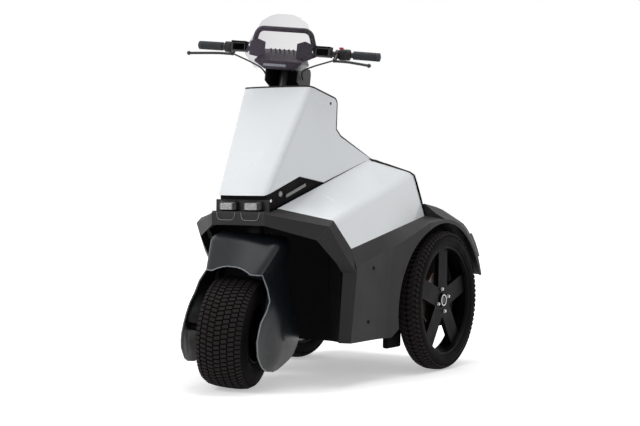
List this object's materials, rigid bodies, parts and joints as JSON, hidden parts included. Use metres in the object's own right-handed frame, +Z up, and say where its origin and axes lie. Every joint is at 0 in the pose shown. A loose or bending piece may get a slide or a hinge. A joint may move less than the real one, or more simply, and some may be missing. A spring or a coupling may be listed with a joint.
{
  "type": "three wheeled car",
  "caption": "Stand-up electric patrol trike: steered front wheel under a fork fender, tapered front shield, side cowls over the rear wheels, open rider bay with a deck and handlebar.",
  "frame": {"origin": "on the ground under the middle of the vehicle's overall length and width", "axes": "+Z up, -Y the way the vehicle faces, +X its left side"},
  "size_m": [0.781, 1.5792, 1.4],
  "materials": {
    "dark_plastic": "fine satin grain",
    "battery_case": "satin",
    "black_metal": "satin black",
    "lamp_lens": "clear",
    "white_panel": "gloss",
    "mat_rubber": "ribbed",
    "brake_metal": "dark machined",
    "red_lens": "clear red",
    "fender_plastic": "soft gloss",
    "tinted_screen": "tinted clear",
    "tyre_rubber": "moulded tread",
    "rim_metal": "satin black"
  },
  "bodies": {
    "body": {"chassis": "dark_plastic", "battery": "battery_case", "belly_pan": "dark_plastic", "wheel_arch_liner": "dark_plastic", "head_tube": "black_metal", "lamp_block": "dark_plastic", "headlamps": "lamp_lens", "arch_left": "dark_plastic", "arch_right": "dark_plastic", "front_shield": "white_panel", "side_cowl_left": "white_panel", "side_cowl_right": "white_panel", "side_lamps": "lamp_lens", "side_panel_left": "dark_plastic", "side_panel_right": "dark_plastic", "knee_panel": "dark_plastic", "bay_walls": "dark_plastic", "deck": "mat_rubber", "rear_fender_left": "dark_plastic", "rear_fender_right": "dark_plastic", "wheel_housings": "dark_plastic", "swing_arms": "black_metal", "brake_calipers": "brake_metal", "tail_lamps": "red_lens"},
    "steering": {"fork": "black_metal", "steering_stem": "black_metal", "front_fender": "fender_plastic", "stem_cover": "dark_plastic", "handlebar": "black_metal", "grips": "mat_rubber", "brake_levers": "black_metal", "switch_pods": "dark_plastic", "instrument_pod": "dark_plastic", "windscreen": "tinted_screen", "screen_brackets": "black_metal", "hoop": "black_metal", "brake_hoses": "mat_rubber"},
    "front_wheel": {"front_tyre": "tyre_rubber", "front_rim": "black_metal"},
    "rear_wheel_left": {"rear_tyre_left": "tyre_rubber", "rear_rim_left": "rim_metal", "brake_disc_left": "brake_metal"},
    "rear_wheel_right": {"rear_tyre_right": "tyre_rubber", "rear_rim_right": "rim_metal", "brake_disc_right": "brake_metal"}
  },
  "joints": [
    {"name": "steering_turn", "type": "hinge", "parent": "body", "child": "steering", "pos_m": [0, -0.5724, 0.2065], "axis": [0, 0.3007, 0.9537], "range_deg": [-55.7, 24.3]},
    {"name": "front_wheel_spin", "type": "hinge", "parent": "steering", "child": "front_wheel", "pos_m": [0.00173, -0.57887, 0.20643], "axis": [0.9627, 0.2581, -0.0814], "continuous": true},
    {"name": "rear_wheel_left_spin", "type": "hinge", "parent": "body", "child": "rear_wheel_left", "pos_m": [0.343, 0.3889, 0.286], "axis": [1, 0, 0], "continuous": true},
    {"name": "rear_wheel_right_spin", "type": "hinge", "parent": "body", "child": "rear_wheel_right", "pos_m": [-0.343, 0.3889, 0.286], "axis": [1, 0, 0], "continuous": true}
  ]
}
